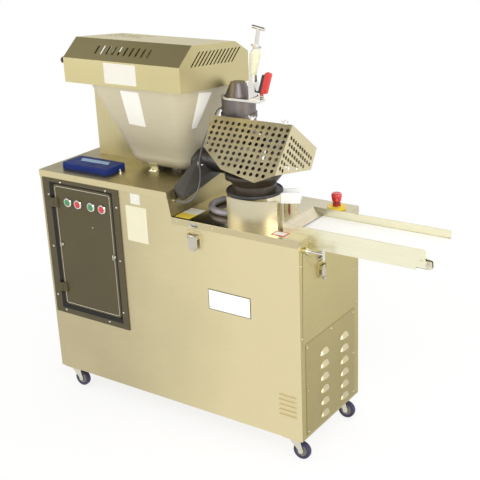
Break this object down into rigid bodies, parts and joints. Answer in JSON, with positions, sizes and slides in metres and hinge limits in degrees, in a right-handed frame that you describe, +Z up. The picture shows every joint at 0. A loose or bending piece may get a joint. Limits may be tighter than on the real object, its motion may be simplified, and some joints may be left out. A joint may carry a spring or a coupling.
{
  "type": "dough divider",
  "caption": "Bakery dough divider and rounder: stepped cabinet on casters, hinged hood over a hopper and auger, head with knife, funnel and drum, and a discharge belt.",
  "frame": {"origin": "on the floor, under the middle of the overall length and depth", "axes": "+X along the way of the dough to the discharge belt's free end, -Y to the operator's side, +Z up"},
  "size_m": [1.8269, 0.502, 1.701],
  "materials": {
    "cabinet_steel": "brushed, warm cast",
    "hopper_steel": "satin",
    "polished_steel": "polished",
    "zinc": "zinc plated",
    "black_panel": "satin black",
    "black_plastic": "matte",
    "head_metal": "satin",
    "cream_post": "satin",
    "brown_funnel": "satin",
    "white_plastic": "satin",
    "belt_white": "smooth",
    "motor_paint": "satin grey",
    "green_cap": "glossy",
    "red_cap": "glossy",
    "yellow_ring": "satin",
    "tread": "matte",
    "blue_case": "matte",
    "cable_black": "matte"
  },
  "bodies": {
    "cabinet": {"base_frame": "cabinet_steel", "front_panel": "cabinet_steel", "rear_panel": "cabinet_steel", "left_panel": "cabinet_steel", "right_panel": "cabinet_steel", "louvre_panel": "cabinet_steel", "upper_deck": "cabinet_steel", "lower_deck": "cabinet_steel", "tower": "cabinet_steel", "hopper": "hopper_steel", "trough": "hopper_steel", "auger_gear_motor": "motor_paint", "head_block": "black_plastic", "head_housing": "head_metal", "knife_motor": "motor_paint", "head_bracket": "black_plastic", "lock_post": "cream_post", "funnel": "brown_funnel", "drum": "polished_steel", "rounder_gear_motor": "motor_paint", "round_track": "hopper_steel", "discharge_guide": "hopper_steel", "discharge_chute": "white_plastic", "conveyor_channel": "cabinet_steel", "belt": "belt_white", "stop_base": "yellow_ring", "control_box": "cabinet_steel", "control_frame": "black_panel", "switch_cable": "cable_black", "accessory_case": "blue_case"},
    "hood": {"hood": "cabinet_steel", "hood_knob": "black_plastic"},
    "guard": {"guard_front": "cabinet_steel", "guard_side": "cabinet_steel"},
    "caster_fork_left_front": {"caster_fork_left_front": "zinc"},
    "caster_wheel_left_front": {"caster_wheel_left_front": "tread"},
    "caster_fork_left_rear": {"caster_fork_left_rear": "zinc"},
    "caster_wheel_left_rear": {"caster_wheel_left_rear": "tread"},
    "caster_fork_right_front": {"caster_fork_right_front": "zinc"},
    "caster_wheel_right_front": {"caster_wheel_right_front": "tread"},
    "caster_fork_right_rear": {"caster_fork_right_rear": "zinc"},
    "caster_wheel_right_rear": {"caster_wheel_right_rear": "tread"},
    "caster_brake": {"caster_brake": "zinc"},
    "draw_latch_lever": {"draw_latch_lever": "polished_steel"},
    "side_latch_lever": {"side_latch_lever": "polished_steel"},
    "lock_rod": {"lock_rod": "polished_steel"},
    "auger": {"auger": "polished_steel"},
    "knife": {"knife": "polished_steel"},
    "knife_roller": {"knife_roller": "black_plastic"},
    "rounder_cone": {"rounder_cone": "polished_steel"},
    "drive_roller": {"drive_roller": "polished_steel"},
    "tail_roller": {"tail_roller": "polished_steel"},
    "control_door": {"control_door": "black_panel"},
    "button_start_a": {"button_start_a": "green_cap"},
    "button_stop_a": {"button_stop_a": "red_cap"},
    "button_start_b": {"button_start_b": "green_cap"},
    "button_stop_b": {"button_stop_b": "red_cap"},
    "stop_head": {"stop_head": "red_cap"},
    "t_handle": {"t_handle": "polished_steel"},
    "clamp_lever": {"clamp_lever": "red_cap"}
  },
  "joints": [
    {"name": "caster_swivel_left_front", "type": "hinge", "parent": "cabinet", "child": "caster_fork_left_front", "pos_m": [-0.8565, -0.1785, 0.1], "axis": [0, 0, 1], "continuous": true},
    {"name": "caster_roll_left_front", "type": "hinge", "parent": "caster_fork_left_front", "child": "caster_wheel_left_front", "pos_m": [-0.8305, -0.1785, 0.038], "axis": [0, 1, 0], "continuous": true},
    {"name": "caster_swivel_left_rear", "type": "hinge", "parent": "cabinet", "child": "caster_fork_left_rear", "pos_m": [-0.8565, 0.1945, 0.1], "axis": [0, 0, 1], "continuous": true},
    {"name": "caster_roll_left_rear", "type": "hinge", "parent": "caster_fork_left_rear", "child": "caster_wheel_left_rear", "pos_m": [-0.8305, 0.1945, 0.038], "axis": [0, 1, 0], "continuous": true},
    {"name": "caster_swivel_right_front", "type": "hinge", "parent": "cabinet", "child": "caster_fork_right_front", "pos_m": [0.3515, -0.1785, 0.1], "axis": [0, 0, 1], "continuous": true},
    {"name": "caster_roll_right_front", "type": "hinge", "parent": "caster_fork_right_front", "child": "caster_wheel_right_front", "pos_m": [0.3775, -0.1785, 0.038], "axis": [0, 1, 0], "continuous": true},
    {"name": "caster_swivel_right_rear", "type": "hinge", "parent": "cabinet", "child": "caster_fork_right_rear", "pos_m": [0.3515, 0.1945, 0.1], "axis": [0, 0, 1], "continuous": true},
    {"name": "caster_roll_right_rear", "type": "hinge", "parent": "caster_fork_right_rear", "child": "caster_wheel_right_rear", "pos_m": [0.3775, 0.1945, 0.038], "axis": [0, 1, 0], "continuous": true},
    {"name": "brake_pivot", "type": "hinge", "parent": "caster_fork_left_front", "child": "caster_brake", "pos_m": [-0.8705, -0.1785, 0.083], "axis": [0, -1, 0], "range_deg": [0, 15]},
    {"name": "draw_latch_pivot", "type": "hinge", "parent": "cabinet", "child": "draw_latch_lever", "pos_m": [-0.07562, -0.2375, 0.903], "axis": [-1, 0, 0], "range_deg": [0, 100]},
    {"name": "side_latch_pivot", "type": "hinge", "parent": "cabinet", "child": "side_latch_lever", "pos_m": [0.4185, -0.06438, 0.811], "axis": [0, -1, 0], "range_deg": [0, 100]},
    {"name": "lock_rod_turn", "type": "hinge", "parent": "cabinet", "child": "lock_rod", "pos_m": [0.4075, -0.1858, 0.917], "axis": [1, 0, 0], "continuous": true},
    {"name": "hood_hinge", "type": "hinge", "parent": "cabinet", "child": "hood", "pos_m": [-0.399, 0.24436, 1.43], "axis": [-1, 0, 0], "range_deg": [0, 75]},
    {"name": "auger_turn", "type": "hinge", "parent": "cabinet", "child": "auger", "pos_m": [-0.3, 0.0547, 1.128], "axis": [1, 0, 0], "continuous": true},
    {"name": "knife_turn", "type": "hinge", "parent": "cabinet", "child": "knife", "pos_m": [0.08, 0.01931, 1.225], "axis": [1, 0, 0], "continuous": true},
    {"name": "knife_roller_turn", "type": "hinge", "parent": "cabinet", "child": "knife_roller", "pos_m": [0.06, 0.08561, 1.225], "axis": [1, 0, 0], "continuous": true},
    {"name": "rounder_turn", "type": "hinge", "parent": "cabinet", "child": "rounder_cone", "pos_m": [0.10522, -0.05364, 0.963], "axis": [0, 0, 1], "continuous": true},
    {"name": "drive_roller_turn", "type": "hinge", "parent": "cabinet", "child": "drive_roller", "pos_m": [0.32466, -0.03501, 0.9393], "axis": [0, 1, 0], "continuous": true},
    {"name": "tail_roller_turn", "type": "hinge", "parent": "cabinet", "child": "tail_roller", "pos_m": [0.8898, -0.03501, 0.9393], "axis": [0, 1, 0], "continuous": true},
    {"name": "guard_off", "type": "slide", "parent": "cabinet", "child": "guard", "axis": [1, 0, 0], "range_m": [0, 0.22]},
    {"name": "door_hinge", "type": "hinge", "parent": "cabinet", "child": "control_door", "pos_m": [-0.84232, -0.2375, 0.726], "axis": [0, 0, -1], "range_deg": [0, 105]},
    {"name": "press_start_a", "type": "slide", "parent": "control_door", "child": "button_start_a", "axis": [0, 1, 0], "range_m": [0, 0.003], "stiffness_N_per_m": 800, "springref_m": -0.001},
    {"name": "press_stop_a", "type": "slide", "parent": "control_door", "child": "button_stop_a", "axis": [0, 1, 0], "range_m": [0, 0.003], "stiffness_N_per_m": 800, "springref_m": -0.001},
    {"name": "press_start_b", "type": "slide", "parent": "control_door", "child": "button_start_b", "axis": [0, 1, 0], "range_m": [0, 0.003], "stiffness_N_per_m": 800, "springref_m": -0.001},
    {"name": "press_stop_b", "type": "slide", "parent": "control_door", "child": "button_stop_b", "axis": [0, 1, 0], "range_m": [0, 0.003], "stiffness_N_per_m": 800, "springref_m": -0.001},
    {"name": "stop_press", "type": "slide", "parent": "cabinet", "child": "stop_head", "axis": [0, 0, -1], "range_m": [0, 0.006]},
    {"name": "t_handle_turn", "type": "hinge", "parent": "cabinet", "child": "t_handle", "pos_m": [0.06006, 0.03131, 1.516], "axis": [0.1857, 0, 0.9826], "continuous": true},
    {"name": "clamp_pivot", "type": "hinge", "parent": "cabinet", "child": "clamp_lever", "pos_m": [0.08806, 0.03131, 1.432], "axis": [0, 1, 0], "range_deg": [0, 75]}
  ],
  "couplings": [
    {"joint": "knife_roller_turn", "follows": "knife_turn", "ratio": -2.3},
    {"joint": "tail_roller_turn", "follows": "drive_roller_turn", "ratio": 1}
  ]
}
